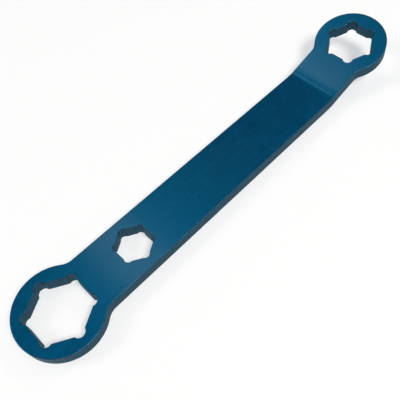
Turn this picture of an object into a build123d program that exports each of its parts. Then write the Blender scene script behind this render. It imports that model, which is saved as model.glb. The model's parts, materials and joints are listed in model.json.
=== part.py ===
from build123d import *
import os
from math import cos, radians, sin, sqrt

# Plate wrench for hydrant nuts, in millimetres: one profiled plate with a hexagon
# opening in each round head and a third one in the handle, and one bend that lifts
# the medium head. The origin is the large opening's centre on the face that the
# wrench lies on. +X runs along the handle to the medium head, +Z is up.

os.makedirs("parts", exist_ok=True)

# Plate, with lengths along it measured before bending
thickness = 10
handle_width = 38
large_head_radius = 27.5
medium_head_radius = 26
head_spacing = 280
neck_fillet = 10

# Hexagon openings: the nut's size across flats, and the play that it is given
nut_play = 0.2
large_flats = 36 + nut_play
medium_flats = 30 + nut_play
small_flats = 22 + nut_play
small_opening_x = 56.5

# Round relief in each corner of an opening, its centre set in from the sharp corner
relief_inset = 2.7
head_relief_radius = 3.6
small_relief_radius = 2.8

# Bend, hollow side up
bend_start = 227
bend_angle = 16.5
bend_inner_radius = 30

# Least upward share of the normal of a broad face, the raised one included
broad_normal_z = 0.9

# Broken edges
outline_edge_radius = 0.5
opening_edge_chamfer = 0.4

# Worked out from the above: the neutral surface at mid thickness keeps its length,
# and the bend's axis stands one outer radius above the underside
bend_outer_radius = bend_inner_radius + thickness
bend_length = (bend_inner_radius + thickness / 2) * radians(bend_angle)
medium_head_reach = head_spacing - bend_start - bend_length
bend_section = Plane((bend_start, 0, 0), x_dir=(0, 1, 0), z_dir=(1, 0, 0))
bend_axis = Axis((bend_start, 0, bend_outer_radius), (0, -1, 0))
raised_plane = Plane(
    origin=(
        bend_start + bend_outer_radius * sin(radians(bend_angle)),
        0,
        bend_outer_radius - bend_outer_radius * cos(radians(bend_angle)),
    ),
    x_dir=(cos(radians(bend_angle)), 0, sin(radians(bend_angle))),
    z_dir=(-sin(radians(bend_angle)), 0, cos(radians(bend_angle))),
)


def hexagon_opening(x, flats, relief_radius):
    """Cuts a hexagon with two flats across the handle and a relief in each corner."""
    corner_radius = flats / sqrt(3)
    with Locations((x, 0)):
        RegularPolygon(corner_radius, 6, rotation=30, mode=Mode.SUBTRACT)
        with PolarLocations(corner_radius - relief_inset, 6, start_angle=30):
            Circle(relief_radius, mode=Mode.SUBTRACT)


def is_broad(face):
    """True for the plate's top and bottom faces, flat, bent or raised."""
    return abs(face.normal_at().Z) > broad_normal_z


with BuildPart() as wrench_body:
    # Large head, and the handle up to the bend
    with BuildSketch() as large_end:
        Circle(large_head_radius)
        Rectangle(bend_start, handle_width, align=(Align.MIN, Align.CENTER))
        fillet(large_end.vertices().group_by(Axis.X)[0], neck_fillet)
        hexagon_opening(0, large_flats, head_relief_radius)
        hexagon_opening(small_opening_x, small_flats, small_relief_radius)
    extrude(amount=thickness)

    # Bent stretch of the handle
    with BuildSketch(bend_section):
        Rectangle(handle_width, thickness, align=(Align.CENTER, Align.MIN))
    revolve(axis=bend_axis, revolution_arc=bend_angle)

    # Raised stretch of the handle, and the medium head
    with BuildSketch(raised_plane) as medium_end:
        Rectangle(medium_head_reach, handle_width, align=(Align.MIN, Align.CENTER))
        with Locations(Location((medium_head_reach, 0), 180)):
            Circle(medium_head_radius)
        fillet(medium_end.vertices().group_by(Axis.X)[-1], neck_fillet)
        hexagon_opening(medium_head_reach, medium_flats, head_relief_radius)
    extrude(amount=thickness)

    # Broken edges: rounded along the outline, chamfered round the openings
    broad_faces = wrench_body.faces().filter_by(is_broad)
    outline = ShapeList([e for face in broad_faces for e in face.outer_wire().edges()])
    fillet(outline.filter_by(Axis.Y, reverse=True), outline_edge_radius)
    broad_faces = wrench_body.faces().filter_by(is_broad)
    rims = ShapeList([e for face in broad_faces for w in face.inner_wires() for e in w.edges()])
    chamfer(rims, opening_edge_chamfer)

wrench_body.part.label = "wrench_body"
export_step(wrench_body.part, "parts/wrench_body.step")
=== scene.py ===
import json
from math import acos, atan2, ceil, cos, hypot, pi, radians, sin, sqrt, tan

import bmesh
import bpy
from mathutils import Matrix, Quaternion, Vector


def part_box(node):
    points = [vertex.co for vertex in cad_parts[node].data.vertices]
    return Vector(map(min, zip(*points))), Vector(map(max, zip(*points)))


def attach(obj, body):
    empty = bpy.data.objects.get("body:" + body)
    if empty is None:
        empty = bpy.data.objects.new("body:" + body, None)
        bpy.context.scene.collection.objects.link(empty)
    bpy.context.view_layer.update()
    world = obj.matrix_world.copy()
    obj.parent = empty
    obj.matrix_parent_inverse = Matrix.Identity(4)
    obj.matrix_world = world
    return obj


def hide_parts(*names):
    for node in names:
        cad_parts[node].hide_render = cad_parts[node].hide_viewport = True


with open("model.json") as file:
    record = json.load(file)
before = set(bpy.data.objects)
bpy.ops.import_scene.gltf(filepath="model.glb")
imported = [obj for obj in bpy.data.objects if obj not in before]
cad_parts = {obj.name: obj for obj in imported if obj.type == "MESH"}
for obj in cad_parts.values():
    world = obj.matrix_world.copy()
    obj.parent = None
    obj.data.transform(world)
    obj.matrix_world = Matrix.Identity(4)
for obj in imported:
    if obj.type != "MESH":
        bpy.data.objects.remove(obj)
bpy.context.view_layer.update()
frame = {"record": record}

# ---------------------------------------------------------------- sizes, in metres
mounts = {mount["name"]: mount for mount in frame["record"]["mounts"]}
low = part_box("wrench_body")[0]

THICKNESS = 0.010
HALF_WIDTH = 0.019
LARGE_HEAD_RADIUS = -low.x
MEDIUM_HEAD_RADIUS = 0.026
NECK_FILLET = 0.010

# How far an opening's corner relief is centred inside the hexagon's corner, and how much of each kind of
# edge is rounded
RELIEF_INSET = 0.0027
OUTLINE_EDGE = 0.0005
OPENING_EDGE = 0.0004
CUSP_EDGE = 0.00015

# The bend, hollow side up, as lengths and turns of the plate's middle: the plate leads in gently, turns
# hard where the press met it, and springs back a little behind
BEND_ANGLE = acos(mounts["medium_opening"]["axis"][2])
SPRING_BACK = radians(3.4)
LEAD_IN = (0.008, radians(2.5))
PRESSED = (0.0056, BEND_ANGLE + SPRING_BACK - LEAD_IN[1])
SPRUNG = (0.0085, -SPRING_BACK)
BEND = (LEAD_IN, PRESSED, SPRUNG)
BEND_LENGTH = sum(length for length, turn in BEND)


def along_bend(travel):
    """Where the plate's middle is after that travel from the bend's start, and how far it has turned."""
    x, z, tilt = min(travel, 0), 0, 0
    for length, turn in BEND:
        step = min(max(travel, 0), length)
        radius, following = length / turn, tilt + turn * step / length
        x += radius * (sin(following) - sin(tilt))
        z += radius * (cos(tilt) - cos(following))
        tilt = following
        travel -= length
    straight = max(travel, 0)
    return x + straight * cos(tilt), z + straight * sin(tilt), tilt


# The medium opening's centre is where the CAD has it, which places the bend
bend_run, bend_rise, _ = along_bend(BEND_LENGTH)
medium_place = mounts["medium_opening"]["pos_m"]
MEDIUM_REACH = (medium_place[2] - THICKNESS / 2 * (1 - cos(BEND_ANGLE)) - bend_rise) / sin(BEND_ANGLE)
BEND_START = medium_place[0] - THICKNESS / 2 * sin(BEND_ANGLE) - bend_run - MEDIUM_REACH * cos(BEND_ANGLE)

# Openings, placed along the plate as it was before bending, with their sizes across flats and the radii
# of their corner reliefs
SMALL_X = mounts["small_opening"]["pos_m"][0]
MEDIUM_X = BEND_START + BEND_LENGTH + MEDIUM_REACH
LARGE = {"x": 0.0, "flats": 0.0362, "relief": 0.0036}
SMALL = {"x": SMALL_X, "flats": 0.0222, "relief": 0.0028}
MEDIUM = {"x": MEDIUM_X, "flats": 0.0302, "relief": 0.0036}

# The mesh: how far its patches reach from the openings' centres, with the small opening's centred on it,
# the quads' number and spacing, and the turns that count as an edge to break
LARGE_REACH = 0.0415
SMALL_REACH = SMALL_X - LARGE_REACH
RINGS = 4
RELIEF_STEPS = 10
HANDLE_ROWS = 6
HANDLE_COLUMNS = 24
BEND_STEP = radians(1)
BEND_COLUMNS = 3
WALL_CUTS = 3
EDGE_SEGMENTS = 4
EDGE_ROOM = 0.0010
CLOSEST = 0.0002
CLOSEST_ANGLE = radians(0.2)
WIDEST_ANGLE = radians(4)
SAME_POINT = 0.000001
SQUARE_EDGE = radians(80)
CUSP = radians(25)


# ---------------------------------------------------------------- the plate's mesh
def relief_edge(opening):
    """Half the angle that a corner relief spans, seen from its own centre."""
    half_corner = pi / 3
    off_flat = RELIEF_INSET * sin(half_corner)
    along_flat = RELIEF_INSET * cos(half_corner) + sqrt(opening["relief"] ** 2 - off_flat ** 2)
    return atan2(along_flat * sin(half_corner), RELIEF_INSET - along_flat * cos(half_corner))


def opening_radius(angle, opening):
    """Distance from an opening's centre to its wall. The corners stand at 30, 90, 150 ... degrees."""
    off_corner = angle % (pi / 3) - pi / 6
    flat = opening["flats"] / 2 / cos(pi / 6 - abs(off_corner))
    centre = opening["flats"] / sqrt(3) - RELIEF_INSET
    room = opening["relief"] ** 2 - (centre * sin(off_corner)) ** 2
    relief = centre * cos(off_corner) + sqrt(room) if room > 0 else 0
    return max(flat, relief)


def opening_angles(opening):
    """The directions of an opening's mesh points, which are along each corner relief."""
    centre = opening["flats"] / sqrt(3) - RELIEF_INSET
    edge = relief_edge(opening)
    angles = []
    for corner in range(6):
        middle = pi / 6 + corner * pi / 3
        for step in range(RELIEF_STEPS + 1):
            turn = edge * (2 * step / RELIEF_STEPS - 1)
            radius = opening["relief"]
            angles.append(middle + atan2(radius * sin(turn), centre + radius * cos(turn)))
    return angles


def neck_corner(head):
    """Where the neck fillet beside a head is centred, with the handle in direction 0."""
    across = HALF_WIDTH + NECK_FILLET
    return Vector((sqrt((head + NECK_FILLET) ** 2 - across ** 2), across))


def head_radius(angle, head, reach, inset):
    """Distance from a head's centre to its outline less inset. The handle is in direction 0, and is cut at
    reach."""
    angle = abs((angle + pi) % (2 * pi) - pi)
    neck = neck_corner(head)
    edge = HALF_WIDTH - inset
    if angle <= atan2(edge, reach - inset):
        return (reach - inset) / cos(angle)
    if angle <= atan2(edge, neck.x):
        return edge / sin(angle)
    if angle <= atan2(neck.y, neck.x):
        along = neck.dot(Vector((cos(angle), sin(angle))))
        return along - sqrt(along ** 2 - neck.length_squared + (NECK_FILLET + inset) ** 2)
    return head - inset


def small_patch_radius(angle, inset):
    """Distance from the small opening's centre to its patch's outline less inset."""
    ahead, aside = abs(cos(angle)), abs(sin(angle))
    if ahead * (HALF_WIDTH - inset) > aside * (SMALL_REACH - inset):
        return (SMALL_REACH - inset) / ahead
    return (HALF_WIDTH - inset) / aside


def shared_rows():
    """Places across the handle where neighbouring patches share their mesh points."""
    rows = [HALF_WIDTH * step / HANDLE_ROWS for step in range(1, HANDLE_ROWS)]
    for opening, reach in ((LARGE, LARGE_REACH), (SMALL, SMALL_REACH), (MEDIUM, MEDIUM_REACH)):
        span = atan2(HALF_WIDTH, reach)
        rows += [reach * tan(angle) for angle in opening_angles(opening) if 0 < angle < span]
    kept = [0]
    for row in sorted(rows):
        if row - kept[-1] > CLOSEST and HALF_WIDTH - row > EDGE_ROOM:
            kept.append(row)
    kept.append(HALF_WIDTH)
    return [-row for row in reversed(kept[1:])] + kept


def patch_angles(opening, reach, joints, rows, necks=()):
    """Directions of a patch's rays, from its opening's centre. A joint is the direction of a neighbour,
    which the patch meets on a straight cut at that reach: there the rays go to the shared rows only."""
    span = atan2(HALF_WIDTH, reach)

    def is_free(angle, margin=0):
        return all(abs((angle - joint + pi) % (2 * pi) - pi) > span + margin for joint in joints)

    shared = [joint + atan2(row, reach) for joint in joints for row in rows]
    free = [angle for angle in opening_angles(opening) + list(necks) if is_free(angle, CLOSEST_ANGLE)]
    corners = sorted(angle % (2 * pi) for angle in shared + free)
    angles = []
    for angle, following in zip(corners, corners[1:] + [corners[0] + 2 * pi]):
        gap = following - angle
        parts = ceil(gap / WIDEST_ANGLE) if is_free(angle + gap / 2) else 1
        angles += [angle + gap * part / parts for part in range(parts)]
    return angles


def ring_patch(bm, x, angles, inner, outer):
    """Quads between an opening's wall and its patch's outline, along rays from the opening's centre."""
    rings = [[] for _ in range(RINGS + 3)]
    for angle in angles:
        near, far = inner(angle) + EDGE_ROOM, outer(angle, EDGE_ROOM)
        middle = [near + (far - near) * step / RINGS for step in range(RINGS + 1)]
        radii = [inner(angle)] + middle + [outer(angle, 0)]
        for ring, radius in zip(rings, radii):
            ring.append(bm.verts.new((x + radius * cos(angle), radius * sin(angle), 0)))
    for near, far in zip(rings, rings[1:]):
        for i in range(len(angles)):
            bm.faces.new((near[i - 1], far[i - 1], far[i], near[i]))


def handle_patch(bm, rows):
    """The grid of quads from the small opening's patch to the medium head's."""
    start = SMALL_X + SMALL_REACH
    columns = [start + (BEND_START - start) * step / HANDLE_COLUMNS for step in range(HANDLE_COLUMNS)]
    reached = BEND_START
    for length, turn in BEND:
        steps = ceil(abs(turn) / BEND_STEP) + BEND_COLUMNS
        columns += [reached + length * step / steps for step in range(steps)]
        reached += length
    columns.append(reached)
    grid = [[bm.verts.new((x, y, 0)) for y in rows] for x in columns]
    for left, right in zip(grid, grid[1:]):
        for i in range(1, len(rows)):
            bm.faces.new((left[i - 1], right[i - 1], right[i], left[i]))


def head_patch(bm, opening, head, reach, towards_handle, rows):
    """A round head with its opening, its neck fillets and its end of the handle."""
    corner = neck_corner(head)
    turn = atan2(corner.y, corner.x)
    necks = [towards_handle - turn, towards_handle + turn]
    ring_patch(
        bm,
        opening["x"],
        patch_angles(opening, reach, [towards_handle], rows, necks),
        lambda angle: opening_radius(angle, opening),
        lambda angle, inset: head_radius(angle - towards_handle, head, reach, inset),
    )


def small_patch(bm, rows):
    """The stretch of the handle round the small opening."""
    ring_patch(
        bm,
        SMALL_X,
        patch_angles(SMALL, SMALL_REACH, [0, pi], rows),
        lambda angle: opening_radius(angle, SMALL),
        small_patch_radius,
    )


def blank_sheet(bm):
    """The plate's outline and openings as one flat sheet of quads."""
    rows = shared_rows()
    head_patch(bm, LARGE, LARGE_HEAD_RADIUS, LARGE_REACH, 0, rows)
    small_patch(bm, rows)
    handle_patch(bm, rows)
    head_patch(bm, MEDIUM, MEDIUM_HEAD_RADIUS, MEDIUM_REACH, pi, rows)
    bmesh.ops.remove_doubles(bm, verts=bm.verts[:], dist=SAME_POINT)


def in_opening(point):
    """Whether a point of the blank's boundary is on an opening's wall, no further out than its reliefs."""
    for opening in (LARGE, SMALL, MEDIUM):
        furthest = opening["flats"] / sqrt(3) - RELIEF_INSET + opening["relief"]
        if hypot(point.x - opening["x"], point.y) < furthest + CLOSEST:
            return True
    return False


def bent(point):
    """Where a point of the flat blank is on the bent plate."""
    x, z, tilt = along_bend(point.x - BEND_START)
    above = point.z - THICKNESS / 2
    return Vector((BEND_START + x - above * sin(tilt), point.y, THICKNESS / 2 + z + above * cos(tilt)))


def evaluated(piece):
    """The piece's mesh with its modifiers applied, and no modifier left."""
    graph = bpy.context.evaluated_depsgraph_get()
    mesh = bpy.data.meshes.new_from_object(piece.evaluated_get(graph))
    piece.modifiers.clear()
    piece.data = mesh


def thicken(bm):
    """Makes the sheet a solid plate, with rows of quads up its walls."""
    raised = bmesh.ops.extrude_face_region(bm, geom=bm.faces[:])["geom"]
    top = [item for item in raised if isinstance(item, bmesh.types.BMVert)]
    bmesh.ops.translate(bm, verts=top, vec=(0, 0, THICKNESS))
    bmesh.ops.recalc_face_normals(bm, faces=bm.faces[:])
    upright = [edge for edge in bm.edges if abs(edge.verts[0].co.z - edge.verts[1].co.z) > THICKNESS / 2]
    bmesh.ops.subdivide_edges(bm, edges=upright, cuts=WALL_CUTS, use_grid_fill=True)


def weigh_edges(bm):
    """Says how much each edge of the plate is rounded, as a share of the outline's."""
    weight = bm.edges.layers.float.new("bevel_weight_edge")
    for edge in bm.edges:
        turn = edge.calc_face_angle(0)
        middle = (edge.verts[0].co + edge.verts[1].co) / 2
        if turn > SQUARE_EDGE:
            edge[weight] = OPENING_EDGE / OUTLINE_EDGE if in_opening(middle) else 1
        elif turn > CUSP:
            edge[weight] = CUSP_EDGE / OUTLINE_EDGE


def keep_places(mesh):
    """Keeps each point's place on the flat blank, and how far it faces away from the broad sides, for the
    material. Both are made before either is filled, because making an attribute can move the others."""
    mesh.attributes.new("blank", "FLOAT_VECTOR", "POINT")
    mesh.attributes.new("side", "FLOAT", "POINT")
    for vertex in mesh.vertices:
        mesh.attributes["blank"].data[vertex.index].vector = vertex.co
        mesh.attributes["side"].data[vertex.index].value = 1 - abs(vertex.normal.z)


def wrench():
    """The bent plate with its broken edges."""
    bm = bmesh.new()
    blank_sheet(bm)
    thicken(bm)
    weigh_edges(bm)
    mesh = bpy.data.meshes.new("anodised_wrench")
    bm.to_mesh(mesh)
    bm.free()
    piece = bpy.data.objects.new("anodised_wrench", mesh)
    bpy.context.scene.collection.objects.link(piece)

    bevel = piece.modifiers.new("broken_edges", "BEVEL")
    bevel.limit_method = "WEIGHT"
    bevel.width = OUTLINE_EDGE
    bevel.segments = EDGE_SEGMENTS
    bevel.use_clamp_overlap = False
    evaluated(piece)

    keep_places(piece.data)
    for vertex in piece.data.vertices:
        vertex.co = bent(vertex.co)
    piece.data.shade_smooth()
    normals = piece.modifiers.new("weighted_normals", "WEIGHTED_NORMAL")
    normals.keep_sharp = True
    evaluated(piece)
    return piece


# ---------------------------------------------------------------- materials
# Sizes of the finish's patterns, along, across and through the blank
FINE_GRAIN = (0.030, 0.0003, 0.0003)
STREAKS = (0.080, 0.0022, 0.0022)
CLOUDS = (0.014, 0.011, 0.011)
MOTTLE = (0.0032, 0.0026, 0.0026)
CUT_LINES = (0.0006, 0.0006, 0.020)
RUBBING = (0.006, 0.004, 0.003)
SCRATCH = (0.007, 0.00022, 1)
SCRATCHED_PATCH = (0.022, 0.016, 1)
SCRATCH_TURNS = (0.10, -0.35, 1.15)
PITS_PER_METRE = 240

# How much of their own colour the marks have where they are strongest, and the heights of the relief
WEAR = 0.45
SCRATCH_SHARE = 0.45
PIT_SHARE = 0.70
RELIEF_UNIT = 0.00003
GRAIN_HEIGHT = 0.4
SCRATCH_DEPTH = 0.8
PIT_DEPTH = 1.5

FACE_ROUGHNESS = 0.38
WALL_ROUGHNESS = 0.52
COAT_ROUGHNESS = 0.15
COAT = 0.15

# Colours, linear
DYE = (0.0, 0.110, 0.250)
# The walls' colour is partly the dye and partly painted shade: darker and greyer than the faces, standing
# in for the shade on the walls and broken edges
SHADED_WALL_DYE = (0.023, 0.082, 0.125)
WORN_EDGE = (0.060, 0.150, 0.220, 1)
SCRATCHED = (0.050, 0.190, 0.300, 1)
PITTED = (0.002, 0.020, 0.040, 1)
EDGE_TINT = (0.45, 0.50, 0.55, 1)


def add(tree, kind, inputs, output=0, **settings):
    """A new node with its inputs given as values or as other nodes' outputs, and the output asked for."""
    node = tree.nodes.new(kind)
    for name, value in settings.items():
        setattr(node, name, value)
    for name, value in inputs.items():
        if isinstance(value, bpy.types.NodeSocket):
            tree.links.new(value, node.inputs[name])
        else:
            node.inputs[name].default_value = value
    return node.outputs[output]


def calculate(tree, operation, first, second):
    """The result of one operation on two numbers, each a value or another node's output."""
    return add(tree, "ShaderNodeMath", {0: first, 1: second}, operation=operation)


def ramp(tree, value, start, end, low=0.0, high=1.0):
    """The value's stretch from start to end, spread from low to high and held beyond."""
    limits = {"From Min": start, "From Max": end, "To Min": low, "To Max": high}
    return add(tree, "ShaderNodeMapRange", {"Value": value, **limits})


def blend(tree, share, first, second):
    """The first colour with that share of the second."""
    return add(tree, "ShaderNodeMix", {0: share, 6: first, 7: second}, 2, data_type="RGBA")


def grain(tree, place, size, turn=0.0, start=(0, 0, 0), detail=2):
    """Noise of that size along, across and through the blank, turned about its thickness."""
    spread = {"Vector": place, "Location": start, "Rotation": (0, 0, turn), "Scale": size}
    mapped = add(tree, "ShaderNodeMapping", spread, vector_type="TEXTURE")
    return add(tree, "ShaderNodeTexNoise", {"Vector": mapped, "Scale": 1, "Detail": detail})


def handling_scratches(tree, place):
    """Sparse fine scratches in a few directions, as a share."""
    total = 0.0
    for number, turn in enumerate(SCRATCH_TURNS):
        start = 0.3 + 0.4 * number
        line = ramp(tree, grain(tree, place, SCRATCH, turn, (start, 0, 0), 0), 0.73, 0.81)
        patch = ramp(tree, grain(tree, place, SCRATCHED_PATCH, 0, (0, start, 0), 0), 0.56, 0.66)
        total = calculate(tree, "MAXIMUM", total, calculate(tree, "MULTIPLY", line, patch))
    return total


def pits(tree, place):
    """Sparse dark pits, as a share."""
    cells = {"Vector": place, "Scale": PITS_PER_METRE, "Randomness": 1}
    distance = add(tree, "ShaderNodeTexVoronoi", cells)
    choice = add(tree, "ShaderNodeTexVoronoi", cells, 1)
    chosen = ramp(tree, add(tree, "ShaderNodeSeparateColor", {0: choice}), 0.86, 0.88)
    return calculate(tree, "MULTIPLY", ramp(tree, distance, 0.15, 0.08), chosen)


def finish_patterns(tree):
    """Where the cut walls and broken edges are, and the marks on each kind of surface."""
    place = add(tree, "ShaderNodeAttribute", {}, 1, attribute_name="blank")
    side = add(tree, "ShaderNodeAttribute", {}, 2, attribute_name="side")
    broad = ramp(tree, side, 0.08, 0.01)
    return {
        "wall": ramp(tree, side, 0.01, 0.12),
        "edge": calculate(tree, "MULTIPLY", ramp(tree, side, 0.05, 0.35), ramp(tree, side, 0.98, 0.65)),
        "fine_grain": grain(tree, place, FINE_GRAIN),
        "streaks": grain(tree, place, STREAKS),
        "clouds": grain(tree, place, CLOUDS),
        "mottle": grain(tree, place, MOTTLE),
        "cut_lines": grain(tree, place, CUT_LINES),
        "rubbing": grain(tree, place, RUBBING),
        "scratches": calculate(tree, "MULTIPLY", broad, handling_scratches(tree, place)),
        "pits": calculate(tree, "MULTIPLY", broad, pits(tree, place)),
    }


def finish_colour(tree, patterns):
    """The dye, uneven on the faces, darker and duller on the cut walls and broken edges with painted shade,
    worn at the edges, scratched and pitted.
    """
    tone = 1.0
    for name, spread in (("fine_grain", 0.10), ("streaks", 0.05), ("clouds", 0.05), ("mottle", 0.05)):
        factor = ramp(tree, patterns[name], 0.25, 0.75, 1 - spread, 1 + spread)
        tone = calculate(tree, "MULTIPLY", tone, factor)
    wall_tone = ramp(tree, patterns["cut_lines"], 0.25, 0.75, 0.80, 1.20)
    dye = add(tree, "ShaderNodeVectorMath", {0: DYE, "Scale": tone}, operation="SCALE")
    shaded_wall_dye = add(tree, "ShaderNodeVectorMath", {0: SHADED_WALL_DYE, "Scale": wall_tone}, operation="SCALE")
    rubbed = ramp(tree, patterns["rubbing"], 0.45, 0.65, 0.0, WEAR)
    worn = calculate(tree, "MULTIPLY", patterns["edge"], rubbed)
    scratched = calculate(tree, "MULTIPLY", patterns["scratches"], SCRATCH_SHARE)
    pitted = calculate(tree, "MULTIPLY", patterns["pits"], PIT_SHARE)

    # Painted shade: the cut walls and the broken edges take the darker, greyer wall colour
    colour = blend(tree, patterns["wall"], dye, shaded_wall_dye)
    colour = blend(tree, worn, colour, WORN_EDGE)
    colour = blend(tree, scratched, colour, SCRATCHED)
    return blend(tree, pitted, colour, PITTED)


def finish_roughness(tree, patterns):
    """Satin faces and duller walls, a little rougher where scratched."""
    roughness = ramp(tree, patterns["wall"], 0, 1, FACE_ROUGHNESS, WALL_ROUGHNESS)
    for change in (
        ramp(tree, patterns["fine_grain"], 0.2, 0.8, -0.03, 0.03),
        ramp(tree, patterns["clouds"], 0.25, 0.75, -0.02, 0.04),
        calculate(tree, "MULTIPLY", patterns["scratches"], 0.08),
    ):
        roughness = calculate(tree, "ADD", roughness, change)
    return roughness


def finish_relief(tree, patterns):
    """Grain along the faces, cut lines through the walls, and sunk scratches and pits."""
    face = calculate(tree, "MULTIPLY", patterns["fine_grain"], GRAIN_HEIGHT)
    height = blend(tree, patterns["wall"], face, patterns["cut_lines"])
    for name, depth in (("scratches", SCRATCH_DEPTH), ("pits", PIT_DEPTH)):
        height = calculate(tree, "SUBTRACT", height, calculate(tree, "MULTIPLY", patterns[name], depth))
    return add(tree, "ShaderNodeBump", {"Height": height, "Distance": RELIEF_UNIT, "Strength": 1})


def anodised_aluminium():
    """Blue dyed anodising, satin, under a thin clear coat."""
    material = bpy.data.materials.new("anodised_aluminium")
    material.use_nodes = True
    tree = material.node_tree
    shader = tree.nodes["Principled BSDF"]
    patterns = finish_patterns(tree)
    tree.links.new(finish_colour(tree, patterns), shader.inputs["Base Color"])
    tree.links.new(finish_roughness(tree, patterns), shader.inputs["Roughness"])
    tree.links.new(finish_relief(tree, patterns), shader.inputs["Normal"])
    shader.inputs["Metallic"].default_value = 1
    shader.inputs["Specular Tint"].default_value = EDGE_TINT
    shader.inputs["Coat Weight"].default_value = COAT
    shader.inputs["Coat Roughness"].default_value = COAT_ROUGHNESS
    return material


# ---------------------------------------------------------------- stage
MIDDLE = Vector((0.130, 0, 0.010))
FLOOR_SIZE = 40
FLOOR_GAP = 0.0001


def floor():
    """A pale table lit from below as well, which keeps the shadows on it light."""
    bpy.ops.mesh.primitive_plane_add(size=FLOOR_SIZE, location=(MIDDLE.x, 0, low.z - FLOOR_GAP))
    piece = bpy.context.object
    piece.name = "floor"
    material = bpy.data.materials.new("floor")
    material.use_nodes = True
    shader = material.node_tree.nodes["Principled BSDF"]
    shader.inputs["Base Color"].default_value = (0.44, 0.42, 0.40, 1)
    shader.inputs["Roughness"].default_value = 0.9
    shader.inputs["Emission Color"].default_value = (0.49, 0.51, 0.53, 1)
    shader.inputs["Emission Strength"].default_value = 1
    piece.data.materials.append(material)


def softbox(name, azimuth, elevation, radiance, distance=3, size=(0.9, 0.9), tint=(1, 1, 1)):
    """A soft rectangular light, as bright all over as asked. Its size is along the wrench, then across."""
    turn, rise = radians(azimuth), radians(elevation)
    direction = Vector((cos(turn) * cos(rise), sin(turn) * cos(rise), sin(rise)))
    along = Vector((0, 1, 0)).cross(direction).normalized()
    light = bpy.data.lights.new(name, "AREA")
    light.shape = "RECTANGLE"
    light.size, light.size_y = size
    light.energy = radiance * pi * size[0] * size[1]
    light.color = tint
    lamp = bpy.data.objects.new(name, light)
    lamp.location = MIDDLE + direction * distance
    lamp.rotation_euler = Matrix((along, direction.cross(along), direction)).transposed().to_euler()
    bpy.context.scene.collection.objects.link(lamp)


def lights():
    """A long warm strip, high up, and four square boxes round the wrench."""
    long_strip = {"distance": 8, "size": (0.85, 2.3), "tint": (1.0, 0.96, 0.80)}
    softbox("strip", azimuth=67, elevation=64, radiance=5.2, **long_strip)
    softbox("key", azimuth=135, elevation=35, radiance=10)
    softbox("side", azimuth=0, elevation=35, radiance=4.5)
    softbox("fill", azimuth=45, elevation=58, radiance=0.17)
    softbox("front", azimuth=270, elevation=60, radiance=27)


def room(radiance, backdrop):
    """Soft light from all round. To the camera the room is brighter than that, as pale as the far floor."""
    world = bpy.data.worlds.new("room")
    world.use_nodes = True
    tree = world.node_tree
    background = tree.nodes["Background"]
    background.inputs["Color"].default_value = (1, 1, 1, 1)
    looked_at = add(tree, "ShaderNodeLightPath", {})
    tree.links.new(ramp(tree, looked_at, 0, 1, radiance, backdrop), background.inputs["Strength"])
    bpy.context.scene.world = world


def camera():
    """Close over the handle's side, turned a little about its own axis."""
    place = Vector((-0.0011, -0.1243, 0.2635))
    aim = Vector((0.1079, -0.0059, 0.0050))
    roll = radians(-3.97)
    data = bpy.data.cameras.new("camera")
    data.lens = 42.3
    eye = bpy.data.objects.new("camera", data)
    eye.location = place
    eye.rotation_mode = "QUATERNION"
    eye.rotation_quaternion = (aim - place).to_track_quat("-Z", "Y") @ Quaternion((0, 0, 1), roll)
    bpy.context.scene.collection.objects.link(eye)
    bpy.context.scene.camera = eye


piece = wrench()
piece.data.materials.clear()
piece.data.materials.append(anodised_aluminium())
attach(piece, "root")
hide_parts("wrench_body")

floor()
lights()
room(radiance=0.2, backdrop=0.75)
camera()
bpy.context.scene.view_settings.view_transform = "Standard"
